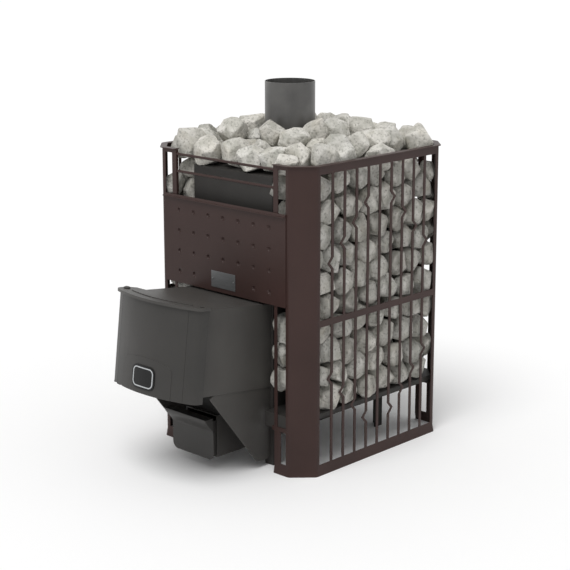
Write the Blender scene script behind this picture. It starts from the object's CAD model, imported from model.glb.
"""Looks of a wood-burning sauna stove: firebox, flue, ash side, fuel channel, door, cage and stones."""

import itertools
import math

import bmesh
import bpy
import numpy as np
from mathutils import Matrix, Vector


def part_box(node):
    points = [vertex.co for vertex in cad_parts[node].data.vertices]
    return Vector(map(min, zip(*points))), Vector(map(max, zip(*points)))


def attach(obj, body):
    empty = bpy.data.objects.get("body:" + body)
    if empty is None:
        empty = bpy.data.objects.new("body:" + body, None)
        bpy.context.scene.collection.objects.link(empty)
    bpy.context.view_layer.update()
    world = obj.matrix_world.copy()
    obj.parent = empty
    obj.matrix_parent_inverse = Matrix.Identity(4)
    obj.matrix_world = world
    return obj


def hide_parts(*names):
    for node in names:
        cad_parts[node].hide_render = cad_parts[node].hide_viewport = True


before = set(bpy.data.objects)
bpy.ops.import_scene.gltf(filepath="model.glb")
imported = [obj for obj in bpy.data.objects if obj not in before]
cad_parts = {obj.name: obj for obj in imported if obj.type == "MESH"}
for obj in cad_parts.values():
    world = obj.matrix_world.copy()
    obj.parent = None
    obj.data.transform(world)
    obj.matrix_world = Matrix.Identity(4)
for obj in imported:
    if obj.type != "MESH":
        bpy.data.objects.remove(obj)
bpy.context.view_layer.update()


# Studio
# A white floor under soft light, most of it from above the front. The camera stands before the
# right-hand corner of the cage and looks down at the stove through a long lens.

scene = bpy.context.scene
scene.view_settings.view_transform = "Standard"

camera_lens = bpy.data.cameras.new("corner_camera")
camera_lens.lens = 94.44
camera_lens.shift_x = -0.006
camera_lens.shift_y = -0.05
camera = bpy.data.objects.new("corner_camera", camera_lens)
camera_down = math.radians(13.05)
camera_turn = math.radians(43.51)
camera.location = (2.3553, -2.399, 1.2301)
camera.rotation_euler = (math.pi / 2 - camera_down, 0, camera_turn)
scene.collection.objects.link(camera)
scene.camera = camera


def new_material(name):
    """New material, with its node tree and its shader."""
    material = bpy.data.materials.new(name)
    material.use_nodes = True
    tree = material.node_tree
    return material, tree, tree.nodes["Principled BSDF"]


floor_size = 60
floor_white = 0.98
bpy.ops.object.select_all(action="DESELECT")
bpy.ops.mesh.primitive_plane_add(size=floor_size, location=(0, 0, 0))
floor = bpy.context.active_object
floor.name = "studio_floor"
floor_paint, _, floor_shader = new_material("studio_floor")
floor_shader.inputs["Base Color"].default_value = (floor_white, floor_white, floor_white, 1)
floor_shader.inputs["Roughness"].default_value = 1
floor_shader.inputs["Specular IOR Level"].default_value = 0
floor.data.materials.append(floor_paint)

ambient = 0.6
world = bpy.data.worlds.new("studio")
scene.world = world
world.use_nodes = True
sky = world.node_tree
light_path = sky.nodes.new("ShaderNodeLightPath")
seen = sky.nodes.new("ShaderNodeMath")
seen.operation = "MAXIMUM"
sky.links.new(light_path.outputs["Is Camera Ray"], seen.inputs[0])
sky.links.new(light_path.outputs["Is Glossy Ray"], seen.inputs[1])
seen_or_through = sky.nodes.new("ShaderNodeMath")
seen_or_through.operation = "MAXIMUM"
sky.links.new(seen.outputs[0], seen_or_through.inputs[0])
sky.links.new(light_path.outputs["Is Transmission Ray"], seen_or_through.inputs[1])
strength = sky.nodes.new("ShaderNodeMapRange")
strength.inputs["To Min"].default_value = ambient
strength.inputs["To Max"].default_value = 1
sky.links.new(seen_or_through.outputs[0], strength.inputs["Value"])
sky.links.new(strength.outputs["Result"], sky.nodes["Background"].inputs["Strength"])
sky.nodes["Background"].inputs["Color"].default_value = (1, 1, 1, 1)

sun_from = Vector((0.18, -0.5, 1.0))
sun_light = bpy.data.lights.new("soft_sun", "SUN")
sun_light.energy = 1.6
sun_light.angle = math.radians(35)
sun = bpy.data.objects.new("soft_sun", sun_light)
sun.rotation_euler = sun_from.to_track_quat("Z", "Y").to_euler()
scene.collection.objects.link(sun)


# Firebox, its legs and the shelf
# Welded from dark steel plate that the heat has stained. The front wall shows between the guard rods
# and the shelf carries the stones; grate, floor and baffle lie inside.

def linear(code):
    """Linear colour of a hexadecimal sRGB code."""
    parts = [int(code[i:i + 2], 16) / 255 for i in (0, 2, 4)]
    return [p / 12.92 if p <= 0.04045 else ((p + 0.055) / 1.055) ** 2.4 for p in parts] + [1]


def effect_group(name, inputs, outputs):
    """Shader node group with named sockets; inputs map a name to a kind and a value."""
    group = bpy.data.node_groups.new(name, "ShaderNodeTree")
    for socket, (kind, value) in inputs.items():
        made = group.interface.new_socket(socket, in_out="INPUT", socket_type=kind)
        made.default_value = value
    for socket, kind in outputs.items():
        group.interface.new_socket(socket, in_out="OUTPUT", socket_type=kind)
    start = group.nodes.new("NodeGroupInput")
    end = group.nodes.new("NodeGroupOutput")
    return group, start, end


def noise_at(tree, scale, detail):
    """Noise on the object's own coordinates; scale is a number or an output socket."""
    place = tree.nodes.new("ShaderNodeTexCoord")
    noise = tree.nodes.new("ShaderNodeTexNoise")
    noise.inputs["Detail"].default_value = detail
    tree.links.new(place.outputs["Object"], noise.inputs["Vector"])
    if isinstance(scale, (int, float)):
        noise.inputs["Scale"].default_value = scale
    else:
        tree.links.new(scale, noise.inputs["Scale"])
    return noise.outputs["Fac"]


def mapped(tree, value, low, high, start=0.3, end=0.7):
    """A value from start to end spread between low and high, which may be numbers or sockets."""
    spread = tree.nodes.new("ShaderNodeMapRange")
    spread.inputs["From Min"].default_value = start
    spread.inputs["From Max"].default_value = end
    tree.links.new(value, spread.inputs["Value"])
    for socket, bound in (("To Min", low), ("To Max", high)):
        if isinstance(bound, (int, float)):
            spread.inputs[socket].default_value = bound
        else:
            tree.links.new(bound, spread.inputs[socket])
    return spread.outputs["Result"]


def mixed(tree, factor, first, second, blend="MIX"):
    """Colour mix of two sockets or colours; a Mix node has its colours at places 6, 7 and 2."""
    mix = tree.nodes.new("ShaderNodeMix")
    mix.data_type = "RGBA"
    mix.blend_type = blend
    for socket, value in ((mix.inputs[0], factor), (mix.inputs[6], first), (mix.inputs[7], second)):
        if isinstance(value, bpy.types.NodeSocket):
            tree.links.new(value, socket)
        else:
            socket.default_value = value
    return mix.outputs[2]


def bumped(tree, height, distance, strength, under=None):
    """Normal of a surface with a relief; under is the normal of a coarser relief below it."""
    bump = tree.nodes.new("ShaderNodeBump")
    bump.inputs["Distance"].default_value = distance
    bump.inputs["Strength"].default_value = strength
    tree.links.new(height, bump.inputs["Height"])
    if under:
        tree.links.new(under, bump.inputs["Normal"])
    return bump.outputs["Normal"]


# Heat-proof paint: a fine grain, and cloudy patches of tone and gloss
grain_tones = (0.88, 1.12)
grain_strength = 0.5
painted, paint_in, paint_out = effect_group(
    "heat_proof_paint",
    {
        "Paint": ("NodeSocketColor", (0.1, 0.1, 0.1, 1)),
        "Patch": ("NodeSocketColor", (0.12, 0.12, 0.12, 1)),
        "Grain": ("NodeSocketFloat", 900.0),
        "Roughness Low": ("NodeSocketFloat", 0.4),
        "Roughness High": ("NodeSocketFloat", 0.55),
    },
    {"Color": "NodeSocketColor", "Roughness": "NodeSocketFloat", "Height": "NodeSocketFloat"},
)
paint_cloud = noise_at(painted, scale=7, detail=5)
paint_grain = noise_at(painted, scale=paint_in.outputs["Grain"], detail=2)
paint_patches = mapped(painted, paint_cloud, low=0.0, high=1.0)
patchy = mixed(painted, paint_patches, paint_in.outputs["Paint"], paint_in.outputs["Patch"])
grain_tone = mapped(painted, paint_grain, *grain_tones)
grain_colour = painted.nodes.new("ShaderNodeCombineColor")
for channel in ("Red", "Green", "Blue"):
    painted.links.new(grain_tone, grain_colour.inputs[channel])
grained = mixed(painted, 1.0, patchy, grain_colour.outputs["Color"], "MULTIPLY")
painted.links.new(grained, paint_out.inputs["Color"])
roughness_bounds = [paint_in.outputs[bound] for bound in ("Roughness Low", "Roughness High")]
paint_roughness = mapped(painted, paint_cloud, *roughness_bounds)
painted.links.new(paint_roughness, paint_out.inputs["Roughness"])
painted.links.new(paint_grain, paint_out.inputs["Height"])


def painted_finish(name, paint, patch, grain, roughness, relief, gloss=0.25):
    """Material of a painted sheet; relief is the depth of its grain, gloss how strongly it mirrors."""
    material, tree, shader = new_material(name)
    coat = tree.nodes.new("ShaderNodeGroup")
    coat.node_tree = painted
    coat.inputs["Paint"].default_value = linear(paint)
    coat.inputs["Patch"].default_value = linear(patch)
    coat.inputs["Grain"].default_value = grain
    coat.inputs["Roughness Low"].default_value = roughness[0]
    coat.inputs["Roughness High"].default_value = roughness[1]
    tree.links.new(coat.outputs["Color"], shader.inputs["Base Color"])
    tree.links.new(coat.outputs["Roughness"], shader.inputs["Roughness"])
    grained_normal = bumped(tree, coat.outputs["Height"], relief, grain_strength)
    tree.links.new(grained_normal, shader.inputs["Normal"])
    shader.inputs["Specular IOR Level"].default_value = gloss
    return material


hot_steel = painted_finish(
    "hot_steel", paint="393735", patch="302e2c", grain=700, roughness=(0.5, 0.68), relief=0.0003,
)
cast_iron = painted_finish(
    "cast_iron", paint="2a2928", patch="201f1e", grain=350, roughness=(0.65, 0.85), relief=0.001,
)

weld_reach = 0.00002
flat_within = math.radians(0.5)


def select_only(piece):
    """Selects one piece alone and makes it the active one."""
    bpy.ops.object.select_all(action="DESELECT")
    piece.select_set(True)
    bpy.context.view_layer.objects.active = piece


def solid_copy(node):
    """Copy of a CAD solid as one merged mesh of whole faces, selected and active."""
    piece = bpy.data.objects.new(node + "_made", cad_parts[node].data.copy())
    scene.collection.objects.link(piece)
    select_only(piece)
    bpy.ops.object.mode_set(mode="EDIT")
    bpy.ops.mesh.select_all(action="SELECT")
    bpy.ops.mesh.remove_doubles(threshold=weld_reach)
    bpy.ops.mesh.dissolve_limited(angle_limit=flat_within)
    bpy.ops.object.mode_set(mode="OBJECT")
    return piece


def applied(piece, kind, **settings):
    """Puts a modifier on a piece and applies it."""
    select_only(piece)
    modifier = piece.modifiers.new(kind.lower(), kind)
    for name, value in settings.items():
        setattr(modifier, name, value)
    bpy.ops.object.modifier_apply(modifier=modifier.name)


def round_edges(piece, rounding, segments=2, angle=32):
    """Rounds the edges of a sheet or plate that are sharper than an angle, and smooths its bends."""
    applied(
        piece, "BEVEL", width=rounding, segments=segments, limit_method="ANGLE",
        angle_limit=math.radians(angle), use_clamp_overlap=True,
    )
    select_only(piece)
    bpy.ops.object.shade_smooth_by_angle(angle=math.radians(angle))
    applied(piece, "WEIGHTED_NORMAL", keep_sharp=True)


def fixed_on(piece, body, slot, material, *nodes):
    """Gives a piece its finish, lets it ride on a body, and lets it stand for CAD nodes."""
    if material:
        piece.data.materials.clear()
        piece.data.materials.append(material)
    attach(piece, body)
    if nodes:
        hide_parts(*nodes)


def plate_work(nodes, body, slot, material, **edges):
    """Sheet and plate pieces that keep their CAD form, with rounded edges."""
    for node in nodes:
        piece = solid_copy(node)
        round_edges(piece, **edges)
        fixed_on(piece, body, slot, material, node)


leg_nodes = [f"leg_{end}_{side}" for end in ("front", "rear") for side in ("right", "left")]
shelf_nodes = ["stone_shelf_right", "stone_shelf_left", "stone_shelf_rear"]
plate_work(["firebox_shell", "firebox_floor", "baffle"], "stove", "hot_steel", hot_steel, rounding=0.0008)
plate_work(leg_nodes + shelf_nodes, "stove", "hot_steel", hot_steel, rounding=0.0006)
plate_work(["grate"], "stove", "cast_iron", cast_iron, rounding=0.0015)


# Flue
# A plain pipe, rolled from dull steel sheet and left bare, so that smoke has darkened it in places.
# It is pushed over a flanged spigot that is welded on the firebox.

pipe_low, pipe_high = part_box("flue_pipe")
pipe_radius = (pipe_high[0] - pipe_low[0]) / 2
pipe_wall = 0.002
pipe_slack = 0.0001
pipe_sides = 72


def middle_of(low, high):
    """Middle of a box between two corners."""
    return [(a + b) / 2 for a, b in zip(low, high)]


bpy.ops.object.select_all(action="DESELECT")
bpy.ops.mesh.primitive_cylinder_add(
    vertices=pipe_sides, radius=pipe_radius - pipe_slack, depth=pipe_high[2] - pipe_low[2],
    end_fill_type="NOTHING", location=middle_of(pipe_low, pipe_high),
)
flue_pipe = bpy.context.active_object
flue_pipe.name = "flue_pipe_made"
bpy.ops.object.transform_apply(location=True, rotation=True, scale=True)
applied(flue_pipe, "SOLIDIFY", thickness=pipe_wall, offset=-1)
round_edges(flue_pipe, rounding=0.0005)

# Streaks that rolling and brushing leave: noise that is drawn out along one way
streaked, streak_in, streak_out = effect_group(
    "drawn_streaks",
    {"Scale": ("NodeSocketVector", (1, 1, 1)), "Detail": ("NodeSocketFloat", 2.0)},
    {"Mask": "NodeSocketFloat"},
)
streak_place = streaked.nodes.new("ShaderNodeTexCoord")
streak_stretch = streaked.nodes.new("ShaderNodeMapping")
streak_noise = streaked.nodes.new("ShaderNodeTexNoise")
streak_noise.inputs["Scale"].default_value = 1
streaked.links.new(streak_place.outputs["Object"], streak_stretch.inputs["Vector"])
streaked.links.new(streak_in.outputs["Scale"], streak_stretch.inputs["Scale"])
streaked.links.new(streak_stretch.outputs["Vector"], streak_noise.inputs["Vector"])
streaked.links.new(streak_in.outputs["Detail"], streak_noise.inputs["Detail"])
streaked.links.new(streak_noise.outputs["Fac"], streak_out.inputs["Mask"])


def streaks_on(tree, scale, detail):
    """Mask of the streaks on bare metal."""
    streaks = tree.nodes.new("ShaderNodeGroup")
    streaks.node_tree = streaked
    streaks.inputs["Scale"].default_value = scale
    streaks.inputs["Detail"].default_value = detail
    return streaks.outputs["Mask"]


rolled_steel, tree, shader = new_material("rolled_steel")
rolled = streaks_on(tree, scale=(260, 260, 4), detail=3)
smoke = mapped(tree, noise_at(tree, scale=14, detail=5), low=0.0, high=1.0)
smoky = mixed(tree, smoke, linear("62615f"), linear("4e4d4c"))
tree.links.new(smoky, shader.inputs["Base Color"])
tree.links.new(mapped(tree, rolled, low=0.3, high=0.46), shader.inputs["Roughness"])
shader.inputs["Metallic"].default_value = 0.35
fixed_on(flue_pipe, "stove", "flue_steel", rolled_steel, "flue_pipe")
plate_work(["flue_collar"], "stove", "hot_steel", hot_steel, rounding=0.0006)


# Ash side
# Cheeks, a sloping plate black with soot, a chute and the ash duct close the space under the fuel
# channel. All of it is folded and welded sheet.

charcoal = painted_finish(
    "charcoal_paint", paint="454340", patch="3d3b39", grain=1100, roughness=(0.4, 0.52), relief=0.0002,
    gloss=0.32,
)
sooty_steel = painted_finish(
    "sooty_steel", paint="1d1c1b", patch="161514", grain=500, roughness=(0.75, 0.92), relief=0.0004,
)
ash_walls = ["ash_cheek_right", "ash_cheek_left", "ash_duct"]
plate_work(ash_walls, "stove", "charcoal_enamel", charcoal, rounding=0.0008)
plate_work(["ash_hood_plate", "ash_chute"], "stove", "hot_steel", sooty_steel, rounding=0.0006)


# Ash drawer
# A folded tray that slides in the duct. Its front is one sheet with round lower corners, its top rolled
# out into a pull lip that a gusset closes at each end. It has the darker charcoal paint of the door.

door_charcoal = painted_finish(
    "door_charcoal", paint="383634", patch="31302e", grain=1100, roughness=(0.38, 0.5), relief=0.0002,
    gloss=0.32,
)
plate_work(["ash_drawer_tray"], "ash_drawer", "hot_steel", hot_steel, rounding=0.0005)
front_low, front_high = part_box("ash_drawer_front")
front_sheet = 0.002
front_corner = 0.016
corner_steps = 8
lip_height = 0.037
lip_steps = 10
front_bend = front_high[2] - lip_height
front_face = front_high[1] - front_sheet
lip_reach = front_face - front_low[1]
bpy.ops.object.select_all(action="DESELECT")
bpy.ops.mesh.primitive_plane_add(
    size=1, location=(0, front_face, (front_low[2] + front_bend) / 2), rotation=(math.pi / 2, 0, 0),
)
drawer_front = bpy.context.active_object
drawer_front.name = "ash_drawer_front_made"
drawer_front.scale = (front_high[0] - front_low[0], front_bend - front_low[2], 1)
bpy.ops.object.transform_apply(location=True, rotation=True, scale=True)
bpy.ops.object.mode_set(mode="EDIT")
bpy.ops.mesh.select_all(action="DESELECT")
front_mesh = bmesh.from_edit_mesh(drawer_front.data)
for vertex in front_mesh.verts:
    vertex.select = vertex.co.z < front_bend - lip_height
bmesh.update_edit_mesh(drawer_front.data)
bpy.ops.mesh.bevel(offset=front_corner, segments=corner_steps, affect="VERTICES")
bpy.ops.mesh.select_mode(type="EDGE")
bpy.ops.mesh.select_all(action="DESELECT")
front_mesh = bmesh.from_edit_mesh(drawer_front.data)
for edge in front_mesh.edges:
    edge.select = all(v.co.z > front_bend - front_sheet for v in edge.verts)
bmesh.update_edit_mesh(drawer_front.data)


def lip_curve(share):
    """How far the lip has come forward at a share of its height: upright at both ends."""
    return lip_reach * share * share * (3 - 2 * share)


for step in range(lip_steps):
    forward = lip_curve((step + 1) / lip_steps) - lip_curve(step / lip_steps)
    bpy.ops.mesh.extrude_region_move(
        TRANSFORM_OT_translate={"value": (0, -forward, lip_height / lip_steps)},
    )
bpy.ops.mesh.select_all(action="DESELECT")
front_mesh = bmesh.from_edit_mesh(drawer_front.data)
for edge in front_mesh.edges:
    at_end = all(abs(v.co.x) > front_high[0] - front_sheet for v in edge.verts)
    edge.select = at_end and all(v.co.z > front_bend - front_sheet / 2 for v in edge.verts)
bmesh.update_edit_mesh(drawer_front.data)
bpy.ops.mesh.extrude_region_move()
bpy.ops.transform.resize(value=(1, 0, 1), center_override=(0, front_face, 0))
bpy.ops.mesh.select_mode(type="VERT")
bpy.ops.mesh.select_all(action="SELECT")
bpy.ops.mesh.remove_doubles(threshold=weld_reach)
bpy.ops.mesh.normals_make_consistent(inside=False)
bpy.ops.object.mode_set(mode="OBJECT")


def thickened(piece, thickness):
    """Gives a sheet its thickness, away from the side that looks to the front."""
    widest = max(piece.data.polygons, key=lambda face: face.area)
    applied(piece, "SOLIDIFY", thickness=thickness, offset=-1 if widest.normal.y < 0 else 1)


thickened(drawer_front, front_sheet)
round_edges(drawer_front, rounding=0.0005)
fixed_on(drawer_front, "ash_drawer", "charcoal_enamel", door_charcoal, "ash_drawer_front")


# Fuel channel and hood
# A tilted tube of folded plate through which the wood is fed. The hood over the door is an arched
# plate with a pressed bead and carries the upper hinge pin; a bracket carries the lower one.

plate_work(["fuel_channel"], "stove", "charcoal_enamel", charcoal, rounding=0.0014, segments=3)
plate_work(["door_hood"], "stove", "charcoal_enamel", charcoal, rounding=0.002, segments=3)
hinge_nodes = ["lower_hinge_bracket", "upper_hinge_pin", "lower_hinge_pin"]
plate_work(hinge_nodes, "stove", "charcoal_enamel", charcoal, rounding=0.0007)


# Door
# A bulged cover with a raised arch between two folded sides, on a flat inner leaf with a rope seal
# and a heat shield. It hangs on two lugs and falls shut by its tilt.

door_bends = 20
door_sides = ["door_side_right", "door_side_left"]
plate_work(
    ["door_cover"], "door", "charcoal_enamel", door_charcoal,
    rounding=0.0009, segments=3, angle=door_bends,
)
plate_work(door_sides, "door", "charcoal_enamel", door_charcoal, rounding=0.0006, angle=door_bends)
plate_work(["hinge_lug_upper", "hinge_lug_lower"], "door", "charcoal_enamel", charcoal, rounding=0.0005)
plate_work(["door_leaf", "door_heat_shield"], "door", "hot_steel", hot_steel, rounding=0.0008)

glass_rope, tree, shader = new_material("glass_rope")
strands = tree.nodes.new("ShaderNodeTexWave")
place = tree.nodes.new("ShaderNodeTexCoord")
strands.bands_direction = "DIAGONAL"
strands.inputs["Scale"].default_value = 130
strands.inputs["Distortion"].default_value = 1.5
tree.links.new(place.outputs["Object"], strands.inputs["Vector"])
woven = mixed(tree, strands.outputs["Fac"], linear("514d46"), linear("8a857b"))
tree.links.new(woven, shader.inputs["Base Color"])
shader.inputs["Roughness"].default_value = 0.95
roped = bumped(tree, strands.outputs["Fac"], distance=0.001, strength=1)
tree.links.new(roped, shader.inputs["Normal"])
plate_work(["door_seal"], "door", "rope_seal", glass_rope, rounding=0.0024, segments=3)


# Badge
# A bare plate of black painted metal, pinned to the arch of the door. A plain silver line stands up a
# little all round it, set in from the edge.

black_plate = painted_finish(
    "black_plate", paint="0c0c0c", patch="101010", grain=1500, roughness=(0.3, 0.4), relief=0.0001,
)
silver_line, tree, shader = new_material("silver_line")
dull = noise_at(tree, scale=400, detail=3)
silver = mixed(tree, mapped(tree, dull, low=0.0, high=1.0), linear("c4c6c7"), linear("a9acae"))
tree.links.new(silver, shader.inputs["Base Color"])
tree.links.new(mapped(tree, dull, low=0.25, high=0.4), shader.inputs["Roughness"])
shader.inputs["Metallic"].default_value = 0.7

line_inset = 0.004
line_width = 0.0028
line_height = 0.0004
line_slope = 0.0002
facing_front = -0.9
badge = solid_copy("door_badge")
badge.data.materials.clear()
badge.data.materials.append(black_plate)
badge.data.materials.append(silver_line)
bpy.ops.object.mode_set(mode="EDIT")
bpy.ops.mesh.select_all(action="DESELECT")
badge_mesh = bmesh.from_edit_mesh(badge.data)
for face in badge_mesh.faces:
    face.select = face.normal.y < facing_front
bmesh.update_edit_mesh(badge.data)
bpy.ops.mesh.inset(thickness=line_inset, use_even_offset=True)
badge_mesh = bmesh.from_edit_mesh(badge.data)
faces_before = len(badge_mesh.faces)
bpy.ops.mesh.inset(thickness=line_width, use_even_offset=True)
badge_mesh = bmesh.from_edit_mesh(badge.data)
badge_mesh.faces.ensure_lookup_table()
for index, face in enumerate(badge_mesh.faces):
    face.select = index >= faces_before
    face.material_index = 1 if index >= faces_before else 0
bmesh.update_edit_mesh(badge.data)
bpy.ops.mesh.inset(thickness=line_slope, depth=line_height, use_even_offset=True)
bpy.ops.object.mode_set(mode="OBJECT")
fixed_on(badge, "door", "black_badge", None, "door_badge")


# Cage
# Four folded corner posts, two rims and two cut grilles of brown painted sheet, with rods across the
# openings. The rear opening has a plain grille.

brown = painted_finish(
    "brown_paint", paint="3d2c29", patch="362724", grain=1000, roughness=(0.34, 0.46), relief=0.0002,
    gloss=0.2,
)
post_nodes = [f"corner_post_{end}_{side}" for end in ("front", "rear") for side in ("right", "left")]
grille_nodes = ["side_grille_right", "side_grille_left", "rear_grille"]
plate_work(post_nodes, "stove", "brown_paint", brown, rounding=0.0005)
plate_work(["rim_right", "rim_left"], "stove", "brown_paint", brown, rounding=0.0006)
plate_work(grille_nodes, "stove", "brown_paint", brown, rounding=0.0008)

rod_sides = 24
for end in ("front", "rear"):
    for level in ("upper", "lower"):
        rod_low, rod_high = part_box(f"{end}_rod_{level}")
        bpy.ops.object.select_all(action="DESELECT")
        bpy.ops.mesh.primitive_cylinder_add(
            vertices=rod_sides, radius=(rod_high[2] - rod_low[2]) / 2, depth=rod_high[0] - rod_low[0],
            location=middle_of(rod_low, rod_high), rotation=(0, math.pi / 2, 0),
        )
        rod = bpy.context.active_object
        rod.name = f"{end}_rod_{level}_made"
        bpy.ops.object.transform_apply(location=True, rotation=True, scale=True)
        round_edges(rod, rounding=0.0006)
        fixed_on(rod, "stove", "brown_paint", brown, f"{end}_rod_{level}")


# Front panel
# A sheet of the cage's brown across the front, fixed on the two posts. It has rows of pressed dimples,
# none of them behind the small plate, and its top edge is rolled forward.

panel_low, panel_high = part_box("front_panel")
sheet = 0.002
panel_roll = 0.005
panel_flange = 0.0065
dimple_pitch = 0.048
dimple_depth = 0.003
dimple_core = 0.0013
dimple_reach = 0.004
dimple_cuts = 4
roll_steps = 6
panel_bends = math.radians(40)
top_dimple_drop = 0.040
dimple_columns = 7
dimple_rows = 4
grid_step = 0.004
panel_face = panel_high[1] - sheet
panel_lap = 0.005
panel_width = panel_high[0] - panel_low[0] + 2 * panel_lap
flat_top = panel_high[2] - sheet - panel_roll
flat_height = flat_top - panel_low[2]
bpy.ops.object.select_all(action="DESELECT")
bpy.ops.mesh.primitive_grid_add(
    x_subdivisions=round(panel_width / grid_step), y_subdivisions=round(flat_height / grid_step), size=1,
    location=(0, panel_face, (panel_low[2] + flat_top) / 2), rotation=(math.pi / 2, 0, 0),
)
panel = bpy.context.active_object
panel.name = "front_panel_made"
panel.scale = (panel_width, flat_height, 1)
bpy.ops.object.transform_apply(location=True, rotation=True, scale=True)
plate_low, plate_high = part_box("rating_plate")
dimples = []
for row in range(dimple_rows):
    for column in range(dimple_columns):
        x = (column - (dimple_columns - 1) / 2) * dimple_pitch
        beside_plate = abs(x) > plate_high[0] + dimple_pitch / 2
        if row < dimple_rows - 1 or beside_plate:
            dimples.append((x, panel_high[2] - top_dimple_drop - row * dimple_pitch))


def from_dimple(point, x, z):
    """Distance of a point of the panel from a dimple's middle."""
    return math.hypot(point.x - x, point.z - z)


bpy.ops.object.mode_set(mode="EDIT")
bpy.ops.mesh.select_all(action="DESELECT")
panel_mesh = bmesh.from_edit_mesh(panel.data)
for face in panel_mesh.faces:
    middle = face.calc_center_median()
    face.select = any(from_dimple(middle, x, z) < 2 * dimple_reach for x, z in dimples)
bmesh.update_edit_mesh(panel.data)
bpy.ops.mesh.subdivide(number_cuts=dimple_cuts)
for x, z in dimples:
    bpy.ops.mesh.select_all(action="DESELECT")
    panel_mesh = bmesh.from_edit_mesh(panel.data)
    for vertex in panel_mesh.verts:
        vertex.select = from_dimple(vertex.co, x, z) < dimple_core
    panel_mesh.select_flush_mode()
    bmesh.update_edit_mesh(panel.data)
    bpy.ops.transform.translate(
        value=(0, dimple_depth, 0), use_proportional_edit=True, proportional_edit_falloff="SPHERE",
        proportional_size=dimple_reach,
    )
bpy.ops.mesh.select_all(action="DESELECT")
panel_mesh = bmesh.from_edit_mesh(panel.data)
for edge in panel_mesh.edges:
    edge.select = all(v.co.z > flat_top - grid_step / 4 for v in edge.verts)
bmesh.update_edit_mesh(panel.data)
bpy.ops.mesh.spin(
    steps=roll_steps, angle=math.pi / 2, center=(0, panel_face - panel_roll, flat_top), axis=(1, 0, 0),
)
bpy.ops.mesh.extrude_region_move(
    TRANSFORM_OT_translate={"value": (0, panel_roll - panel_flange, 0)},
)
bpy.ops.mesh.select_all(action="SELECT")
bpy.ops.mesh.remove_doubles(threshold=weld_reach)
bpy.ops.mesh.normals_make_consistent(inside=False)
bpy.ops.object.mode_set(mode="OBJECT")
thickened(panel, sheet)
select_only(panel)
bpy.ops.object.shade_smooth_by_angle(angle=panel_bends)
fixed_on(panel, "stove", "brown_paint", brown, "front_panel")


# Rating plate
# A small bare plate of brushed steel, low on the panel. A round-headed rivet at each short side holds
# it there.

brushed, tree, shader = new_material("brushed_plate")
strokes = streaks_on(tree, scale=(40, 40, 1800), detail=2)
brushed_steel = mixed(tree, mapped(tree, strokes, low=0.0, high=1.0), linear("5f6060"), linear("717273"))
tree.links.new(brushed_steel, shader.inputs["Base Color"])
tree.links.new(mapped(tree, strokes, low=0.3, high=0.45), shader.inputs["Roughness"])
shader.inputs["Metallic"].default_value = 0.6
plate_work(["rating_plate"], "stove", "bare_steel", brushed, rounding=0.0003)

rivet_radius = 0.0022
rivet_inset = 0.005
rivet_seat = 0.0002
for side, x in (("left", plate_low[0] + rivet_inset), ("right", plate_high[0] - rivet_inset)):
    bpy.ops.object.select_all(action="DESELECT")
    bpy.ops.mesh.primitive_uv_sphere_add(
        segments=20, ring_count=12, radius=rivet_radius,
        location=(x, plate_low[1], (plate_low[2] + plate_high[2]) / 2),
    )
    rivet = bpy.context.active_object
    rivet.name = f"plate_rivet_{side}"
    bpy.ops.object.transform_apply(location=True, rotation=True, scale=True)
    bpy.ops.object.mode_set(mode="EDIT")
    bpy.ops.mesh.select_all(action="SELECT")
    bpy.ops.mesh.bisect(
        plane_co=(0, plate_low[1] + rivet_seat, 0), plane_no=(0, 1, 0), clear_outer=True, use_fill=True,
    )
    bpy.ops.object.mode_set(mode="OBJECT")
    round_edges(rivet, rounding=0.0001)
    fixed_on(rivet, "stove", "bare_steel", brushed)


# Stones
# Broken grey rock of about a fist's size with flat faces and blunt ridges, piled on the shelf and over
# the firebox and heaped above the rim. The large stones lie where the frame has them and lean on their
# neighbours, but the heap has settled a little.

rock, tree, shader = new_material("grey_rock")
tint = tree.nodes.new("ShaderNodeAttribute")
tint.attribute_name = "stone_tint"
veins = noise_at(tree, scale=38, detail=8)
specks = noise_at(tree, scale=170, detail=8)
grit = noise_at(tree, scale=600, detail=4)
stains = noise_at(tree, scale=22, detail=5)
vein_mask = mapped(tree, veins, low=0.0, high=1.0, start=0.38, end=0.62)
speck_mask = mapped(tree, specks, low=0.6, high=0.0, start=0.34, end=0.47)
stain_mask = mapped(tree, stains, low=0.0, high=0.4, start=0.55, end=0.75)
pale = mixed(tree, vein_mask, linear("b9b8b0"), linear("dbd9d3"))
spotted = mixed(tree, speck_mask, pale, linear("7f7e77"))
warm = mixed(tree, stain_mask, spotted, linear("b9b3a2"))
toned = mixed(tree, 1.0, warm, tint.outputs["Color"], "MULTIPLY")
tree.links.new(toned, shader.inputs["Base Color"])
tree.links.new(mapped(tree, specks, low=0.8, high=0.98), shader.inputs["Roughness"])
shader.inputs["Specular IOR Level"].default_value = 0.2
coarse = bumped(tree, specks, distance=0.004, strength=0.7)
fine = bumped(tree, grit, distance=0.0012, strength=0.6, under=coarse)
tree.links.new(fine, shader.inputs["Normal"])

stone_reach = 0.040
least_reach = 0.030
reach_per_room = 1.28
stone_seed = 41
chance = np.random.default_rng(stone_seed)

# Room inside the cage, over the firebox and round the flue
sheet_room = 0.003
rim_room = 0.011
lip_room = 0.008
near_rim = 0.015
rim_overhang = 0.005
cage_chamfer = 0.043
rim_low, rim_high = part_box("rim_right")
cage_middle = (rim_low[1] + rim_high[1]) / 2
cage_half_width = rim_high[0] - rim_overhang
cage_half_depth = (rim_high[1] - rim_low[1]) / 2 - rim_overhang
fire_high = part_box("firebox_shell")[1]
shelf_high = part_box("stone_shelf_right")[1]
collar_low, collar_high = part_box("flue_collar")
flue_x, flue_y, _ = middle_of(pipe_low, pipe_high)
least_room = 0.014
least_crease = 0.001
heap_settling = 0.36


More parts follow.
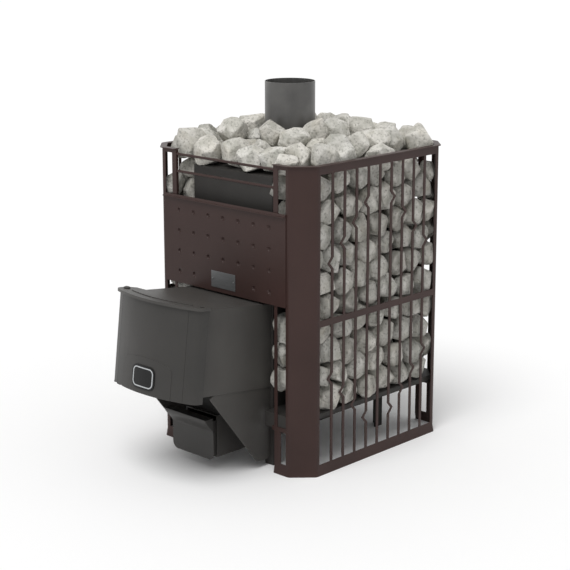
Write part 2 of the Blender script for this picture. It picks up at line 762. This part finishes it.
def stone_middles(bed):
    """Middles of the stones of a bed. The frame joins them at small flats, where they are parted."""
    parted = bpy.data.objects.new("parted_stones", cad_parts[bed].data.copy())
    scene.collection.objects.link(parted)
    select_only(parted)
    bpy.ops.object.mode_set(mode="EDIT")
    bpy.ops.mesh.select_all(action="SELECT")
    bpy.ops.mesh.remove_doubles(threshold=weld_reach)
    bpy.ops.mesh.select_all(action="DESELECT")
    parted_mesh = bmesh.from_edit_mesh(parted.data)
    for edge in parted_mesh.edges:
        edge.select = edge.is_manifold and edge.calc_face_angle_signed() < -least_crease
    bmesh.update_edit_mesh(parted.data)
    bpy.ops.mesh.edge_split(type="EDGE")
    bpy.ops.mesh.separate(type="LOOSE")
    bpy.ops.object.mode_set(mode="OBJECT")
    bpy.ops.object.origin_set(type="ORIGIN_CENTER_OF_MASS")
    stones = list(bpy.context.selected_objects)
    middles = [stone.location.copy() for stone in stones]
    for stone in stones:
        bpy.data.objects.remove(stone)
    for middle in middles:
        middle.z -= heap_settling * max(middle.z - rim_high[2], 0)
    return middles


def stone_walls(middle):
    """Flats that a stone may not pass: directions and the room that it has towards them."""
    top = middle.z + stone_reach > rim_low[2] - near_rim
    inset = rim_room if top else sheet_room
    across = cage_half_width - inset
    along = cage_half_depth - max(inset, lip_room)
    corner = cage_half_width + cage_half_depth - cage_chamfer - inset * math.sqrt(2)
    y = middle.y - cage_middle
    half = math.sqrt(0.5)
    walls = [((1, 0, 0), across - middle.x), ((-1, 0, 0), across + middle.x)]
    walls += [((0, 1, 0), along - y), ((0, -1, 0), along + y)]
    for a in (1, -1):
        for b in (1, -1):
            walls.append(((a * half, b * half, 0), (corner - a * middle.x - b * y) * half))
    outside = abs(middle.x) > fire_high[0]
    behind = middle.y > fire_high[1]
    if middle.z > fire_high[2] + stone_reach / 2 or not (outside or behind):
        walls.append(((0, 0, -1), middle.z - fire_high[2]))
        to_flue = Vector((flue_x - middle.x, flue_y - middle.y, 0))
        low_down = middle.z < collar_low[2] + stone_reach
        kept_off = (collar_high[0] - collar_low[0]) / 2 if low_down else pipe_radius + sheet_room
        walls.append((tuple(to_flue.normalized()), to_flue.length - kept_off))
    elif outside:
        walls.append(((-math.copysign(1, middle.x), 0, 0), abs(middle.x) - fire_high[0]))
        walls.append(((0, 0, -1), middle.z - shelf_high[2]))
    else:
        walls.append(((0, -1, 0), middle.y - fire_high[1]))
        walls.append(((0, 0, -1), middle.z - shelf_high[2]))
    return walls


stone_beds = ["stones_right", "stones_left", "stones_rear"]
stone_beds += [f"stones_top_{side}" for side in ("front", "rear", "right", "left")]
bed_middles = {bed: stone_middles(bed) for bed in stone_beds}

# Smaller stones wedged into the hollows of the pile, the widest hollows first
heap_edge = 0.012
heap_middle = 0.060
hollow_tries = 9000
hollow_room = 0.018
least_hollow = 0.045
most_hollow = 0.075


def heap_height(x, y):
    """How high the heap comes at a place."""
    outward = max(abs(x) / cage_half_width, abs(y - cage_middle) / cage_half_depth)
    return rim_high[2] + heap_edge + (heap_middle - heap_edge) * (1 - outward ** 2)


hollows = []
for _ in range(hollow_tries):
    x = chance.uniform(-cage_half_width, cage_half_width)
    y = cage_middle + chance.uniform(-cage_half_depth, cage_half_depth)
    hollow = Vector((x, y, chance.uniform(shelf_high[2], heap_height(x, y) - hollow_room)))
    if min(room for _, room in stone_walls(hollow)) > hollow_room:
        hollows.append(hollow)
hollows = np.array(hollows)
known = [(bed, np.array(middle)) for bed, middles in bed_middles.items() for middle in middles]
places = np.array([place for bed, place in known])
gaps = np.linalg.norm(hollows[:, None] - places[None], axis=2).min(axis=1)
while True:
    fitting = np.where(gaps < most_hollow, gaps, 0)
    widest = fitting.argmax()
    if fitting[widest] < least_hollow:
        break
    wedged = hollows[widest]
    beside = min(known, key=lambda entry: np.linalg.norm(entry[1] - wedged))
    bed_middles[beside[0]].append(Vector(wedged))
    known.append((beside[0], wedged))
    gaps = np.minimum(gaps, np.linalg.norm(hollows - wedged, axis=1))

# Broken faces, spread evenly round a stone and then turned and shifted by chance
face_count = 15
face_shift = 0.22
face_depth = (0.74, 0.99)
body_blunt = 12
least_ridge = 0.006
sharpest_corner = 0.03
touching = 0.000001
size_spread = (0.86, 1.14)
heap_greys = (0.92, 1.1)
low_greys = (0.6, 0.82)
heap_rows = 0.03
warmth_spread = (0.965, 1.0)
golden_turn = math.pi * (3 - math.sqrt(5))
all_middles = np.array([middle for middles in bed_middles.values() for middle in middles])
all_sizes = chance.uniform(*size_spread, len(all_middles))
steps = np.arange(face_count)
levels = 1 - (2 * steps + 1) / face_count
rings = np.sqrt(1 - levels ** 2)
turns = golden_turn * steps
spread_faces = np.column_stack([rings * np.cos(turns), rings * np.sin(turns), levels])


def reach_towards(directions, flats, rooms, reach):
    """How far a blunt stone goes in each direction before it meets a flat or its own reach."""
    closeness = np.clip(directions @ flats.T, 0, None) / rooms
    return ((closeness ** body_blunt).sum(axis=1) + reach ** -body_blunt) ** (-1 / body_blunt)


def corners_between(flats, rooms):
    """Corners of the body that flats enclose: where three meet and no other one cuts them off."""
    trios = np.array(list(itertools.combinations(range(len(flats)), 3)))
    trios = trios[np.abs(np.linalg.det(flats[trios])) > sharpest_corner]
    corners = np.linalg.solve(flats[trios], rooms[trios][..., None])[..., 0]
    return corners[(corners @ flats.T < rooms + touching).all(axis=1)]


def broken_stone(index):
    """Corners of one stone: the room that walls and neighbours leave it, with its faces broken off."""
    middle = all_middles[index]
    walls = stone_walls(Vector(middle))
    flats = [direction for direction, room in walls]
    rooms = [max(room, least_room) for direction, room in walls]
    reach = min(stone_reach, max(least_reach, reach_per_room * min(rooms)))
    near_walls = [direction for direction, room in walls if room < reach]
    spans = np.linalg.norm(all_middles - middle, axis=1)
    for other in np.flatnonzero((spans > 0) & (spans < 2 * stone_reach)):
        share = all_sizes[index] / (all_sizes[index] + all_sizes[other])
        flats.append((all_middles[other] - middle) / spans[other])
        rooms.append(spans[other] * share)
    flats = np.array(flats)
    rooms = np.array(rooms)
    turned = spread_faces @ np.linalg.qr(chance.normal(size=(3, 3)))[0]
    faces = np.vstack([turned] + near_walls)
    faces += chance.normal(scale=face_shift, size=faces.shape)
    faces /= np.linalg.norm(faces, axis=1)[:, None]
    depths = reach_towards(faces, flats, rooms, reach) * chance.uniform(*face_depth, len(faces))
    kept = []
    for corner in corners_between(np.vstack([flats, faces]), np.concatenate([rooms, depths])):
        if all(np.linalg.norm(corner - other) > least_ridge for other in kept):
            kept.append(corner)
    return [middle + corner for corner in kept]


lumps = bpy.data.textures.new("stone_lumps", "CLOUDS")
lumps.noise_scale = 0.026
lumps.noise_depth = 3
lump_height = 0.0035
pits = bpy.data.textures.new("stone_pits", "CLOUDS")
pits.noise_scale = 0.010
pits.noise_depth = 2
pit_depth = 0.002
ridge_blunt = 0.0018
flat_angle = math.radians(4)
ridge_angle = math.radians(12)

first = 0
for bed, middles in bed_middles.items():
    pile = bpy.data.objects.new(bed + "_made", bpy.data.meshes.new(bed + "_made"))
    scene.collection.objects.link(pile)
    pile_mesh = bmesh.new()
    stone_tint = pile_mesh.verts.layers.float_color.new("stone_tint")
    for index in range(first, first + len(middles)):
        points = [pile_mesh.verts.new(corner) for corner in broken_stone(index)]
        in_heap = all_middles[index][2] > rim_low[2] - heap_rows
        grey = chance.uniform(*heap_greys if in_heap else low_greys)
        warmth = chance.uniform(*warmth_spread)
        for point in points:
            point[stone_tint] = (grey, grey * (1 + warmth) / 2, grey * warmth, 1)
        bmesh.ops.convex_hull(pile_mesh, input=points)
    pile_mesh.to_mesh(pile.data)
    pile_mesh.free()
    first += len(middles)
    select_only(pile)
    bpy.ops.object.mode_set(mode="EDIT")
    bpy.ops.mesh.select_all(action="SELECT")
    bpy.ops.mesh.delete_loose()
    bpy.ops.mesh.select_all(action="SELECT")
    bpy.ops.mesh.dissolve_limited(angle_limit=flat_angle)
    bpy.ops.mesh.normals_make_consistent(inside=False)
    bpy.ops.object.mode_set(mode="OBJECT")
    applied(
        pile, "BEVEL", width=ridge_blunt, segments=1, limit_method="ANGLE", angle_limit=flat_angle,
        use_clamp_overlap=False,
    )
    applied(pile, "SUBSURF", subdivision_type="SIMPLE", levels=1, render_levels=1)
    applied(pile, "DISPLACE", texture=lumps, texture_coords="LOCAL", strength=lump_height, mid_level=0.5)
    applied(pile, "DISPLACE", texture=pits, texture_coords="LOCAL", strength=pit_depth, mid_level=0.5)
    select_only(pile)
    bpy.ops.object.shade_smooth_by_angle(angle=ridge_angle)
    fixed_on(pile, "stove", "stone", rock, bed)
